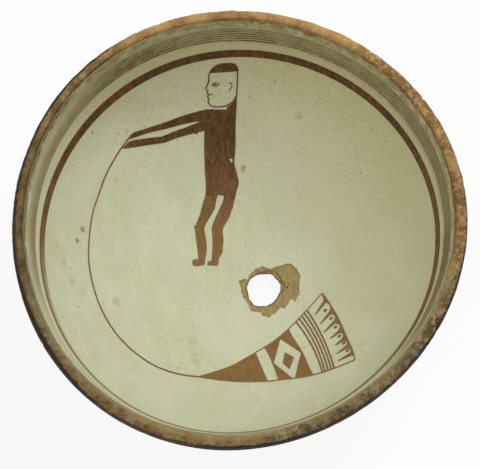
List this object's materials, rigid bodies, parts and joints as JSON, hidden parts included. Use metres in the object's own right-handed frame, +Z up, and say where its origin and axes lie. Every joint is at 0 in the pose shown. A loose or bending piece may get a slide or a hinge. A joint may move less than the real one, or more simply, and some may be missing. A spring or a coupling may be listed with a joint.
{
  "type": "painted bowl",
  "caption": "Round-bottomed earthenware bowl with white slip inside, brown painted figure, fan, framing lines and band, painted lip and a hole punched through the floor.",
  "frame": {"origin": "middle of the foot, where the bowl stands on the ground, under the middle of its outline", "axes": "+Z up through the mouth, +Y towards the painted head, +X to the right of the picture"},
  "size_m": [0.2415, 0.2428, 0.1052],
  "materials": {
    "fired_clay": "unglazed low-fired clay, scraped and a little rough, with fire clouds",
    "white_slip": "smoothed matt slip, pale olive cream with fine crackle and stains",
    "lip_paint": "worn iron-brown paint",
    "iron_paint": "matt iron-brown brushed paint, uneven in strength"
  },
  "bodies": {
    "root": {"clay_body": "fired_clay", "interior_slip": "white_slip", "lip_paint": "lip_paint", "fine_framing_lines": "iron_paint", "wide_framing_band": "iron_paint", "figure_body": "iron_paint", "figure_hair": "iron_paint", "figure_face_line": "iron_paint", "figure_mouth_line": "iron_paint", "figure_ear_line": "iron_paint", "figure_eye_line": "iron_paint", "figure_pupil": "iron_paint", "staff_line": "iron_paint", "fan_tip_wedge": "iron_paint", "fan_diamond_panel": "iron_paint", "fan_centre_diamond": "iron_paint", "fan_fine_lines": "iron_paint", "fan_edge_lines": "iron_paint", "fan_fringe_band": "iron_paint", "fan_fringe_dots": "iron_paint"}
  },
  "joints": []
}
